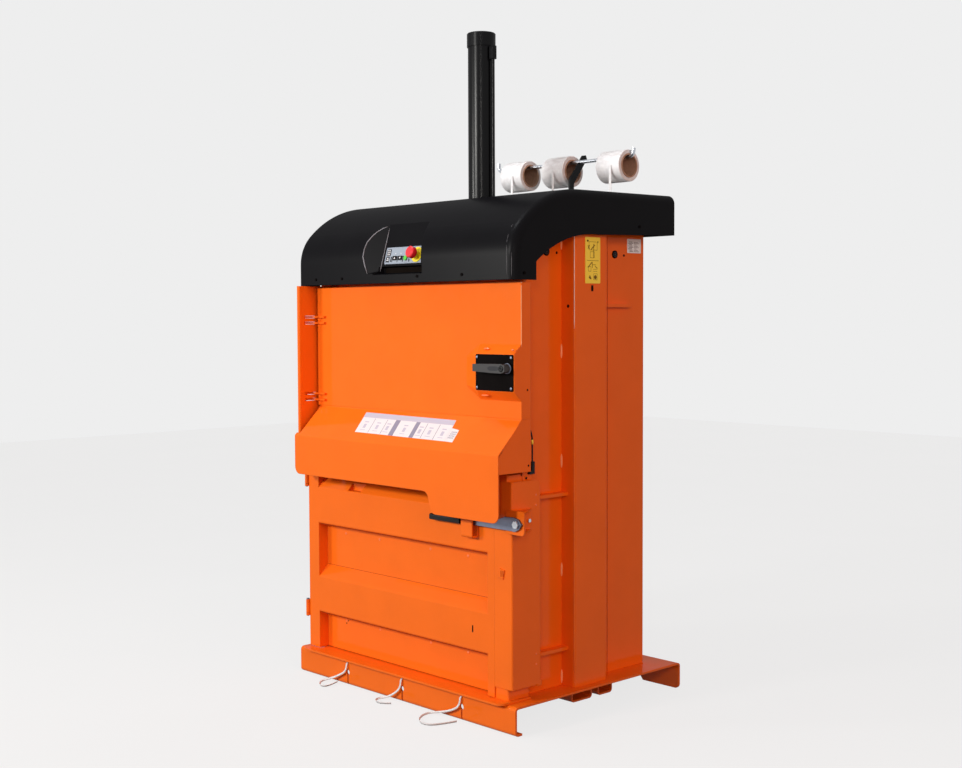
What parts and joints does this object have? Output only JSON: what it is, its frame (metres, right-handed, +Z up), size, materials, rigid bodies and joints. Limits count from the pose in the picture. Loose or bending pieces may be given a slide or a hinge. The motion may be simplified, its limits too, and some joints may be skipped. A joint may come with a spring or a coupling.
{
  "type": "small vertical baler",
  "caption": "Free-standing upright press that bales card and film: sheet steel chamber, loading door with a chute, ribbed bale door, rounded hood and strap rolls.",
  "frame": {"origin": "on the floor under the middle of the machine's plan, straps left out", "axes": "+X to the machine's right seen from the front, +Y to the rear, +Z up; the doors face -Y"},
  "size_m": [1.01, 0.8479, 2],
  "materials": {
    "orange_sheet": "semi-gloss orange powder coat with light wear",
    "black_hood": "satin black powder coat",
    "black_steel": "satin black paint",
    "bare_steel": "bare machined steel",
    "zinc_steel": "zinc plated",
    "piston_chrome": "hard chromed",
    "grey_plastic": "moulded grey plastic",
    "black_plastic": "moulded black plastic",
    "panel_grey": "printed control plate with plain fields",
    "stop_yellow": "yellow disc",
    "stop_red": "red mushroom head",
    "start_green": "green push button",
    "sign_yellow": "plain yellow plate",
    "sign_grey": "bare grey plate",
    "card_core": "brown card core",
    "white_strap": "woven polyester strap, wound"
  },
  "bodies": {
    "frame": {"base_frame": "orange_sheet", "base_runners": "orange_sheet", "chamber_floor": "orange_sheet", "right_side_wall": "orange_sheet", "left_side_wall": "orange_sheet", "rear_wall": "orange_sheet", "right_side_column": "orange_sheet", "left_side_column": "orange_sheet", "wall_brackets": "orange_sheet", "right_front_post": "orange_sheet", "left_front_post": "orange_sheet", "hinge_guard": "orange_sheet", "hinge_pins": "zinc_steel", "front_header": "orange_sheet", "top_plate": "orange_sheet", "pump_motor": "black_steel", "oil_tank": "black_steel", "hood": "black_hood", "hood_screws": "black_steel", "wall_plugs": "black_plastic", "column_plate": "sign_yellow", "wall_plate": "sign_grey", "control_box": "black_plastic", "control_plate": "panel_grey", "stop_disc": "stop_yellow", "cylinder_tube": "black_steel", "cylinder_cap": "black_steel", "oil_pipe": "zinc_steel", "roll_rod": "zinc_steel", "roll_arm": "black_steel", "door_sensor": "black_plastic", "strap_end_1": "white_strap", "strap_end_2": "white_strap", "strap_end_3": "white_strap", "strap_tails": "white_strap"},
    "press": {"piston_rod": "piston_chrome", "press_plate": "orange_sheet"},
    "loading_door": {"loading_door_panel": "orange_sheet", "chute_apron": "orange_sheet", "hinge_fingers": "orange_sheet", "latch_plate": "black_plastic"},
    "door_latch": {"latch_handle": "grey_plastic"},
    "bale_door": {"bale_door_panel": "orange_sheet", "bale_door_knuckles": "orange_sheet", "lock_cover": "orange_sheet", "lever_bracket": "orange_sheet", "lever_pin": "zinc_steel", "lever_catch": "orange_sheet"},
    "bale_door_lever": {"lock_lever": "bare_steel", "lever_grip": "black_plastic"},
    "stop_head": {"stop_button": "stop_red"},
    "start_head": {"start_button": "start_green"},
    "up_head": {"up_key": "black_plastic"},
    "down_head": {"down_key": "black_plastic"},
    "roll_1": {"roll_core_1": "card_core", "strap_roll_1": "white_strap"},
    "roll_2": {"roll_core_2": "card_core", "strap_roll_2": "white_strap"},
    "roll_3": {"roll_core_3": "card_core", "strap_roll_3": "white_strap"}
  },
  "joints": [
    {"name": "loading_door_hinge", "type": "hinge", "parent": "frame", "child": "loading_door", "pos_m": [-0.47, -0.343, 1], "axis": [0, 0, -1], "range_deg": [0, 100]},
    {"name": "bale_door_hinge", "type": "hinge", "parent": "frame", "child": "bale_door", "pos_m": [-0.478, -0.333, 0.4], "axis": [0, 0, -1], "range_deg": [0, 100]},
    {"name": "latch_turn", "type": "hinge", "parent": "loading_door", "child": "door_latch", "pos_m": [0.447, -0.363, 0.996], "axis": [0, 1, 0], "range_deg": [0, 70]},
    {"name": "lever_lift", "type": "hinge", "parent": "bale_door", "child": "bale_door_lever", "pos_m": [0.482, -0.342, 0.579], "axis": [0, 1, 0], "range_deg": [0, 30]},
    {"name": "press_stroke", "type": "slide", "parent": "frame", "child": "press", "axis": [0, 0, -1], "range_m": [0, 0.57]},
    {"name": "stop_push", "type": "slide", "parent": "frame", "child": "stop_head", "axis": [0, 0.9659, -0.2588], "range_m": [0, 0.004], "stiffness_N_per_m": 400},
    {"name": "start_push", "type": "slide", "parent": "frame", "child": "start_head", "axis": [0, 0.9659, -0.2588], "range_m": [0, 0.002], "stiffness_N_per_m": 300},
    {"name": "up_key_push", "type": "slide", "parent": "frame", "child": "up_head", "axis": [0, 0.9659, -0.2588], "range_m": [0, 0.002], "stiffness_N_per_m": 300},
    {"name": "down_key_push", "type": "slide", "parent": "frame", "child": "down_head", "axis": [0, 0.9659, -0.2588], "range_m": [0, 0.002], "stiffness_N_per_m": 300},
    {"name": "roll_turn_1", "type": "hinge", "parent": "frame", "child": "roll_1", "pos_m": [-0.192, 0.347, 1.6], "axis": [1, 0, 0], "continuous": true},
    {"name": "roll_turn_2", "type": "hinge", "parent": "frame", "child": "roll_2", "pos_m": [-0.002, 0.347, 1.6], "axis": [1, 0, 0], "continuous": true},
    {"name": "roll_turn_3", "type": "hinge", "parent": "frame", "child": "roll_3", "pos_m": [0.235, 0.347, 1.6], "axis": [1, 0, 0], "continuous": true}
  ],
  "couplings": [
    {"joint": "bale_door_hinge", "follows": "loading_door_hinge", "ratio": 1}
  ]
}
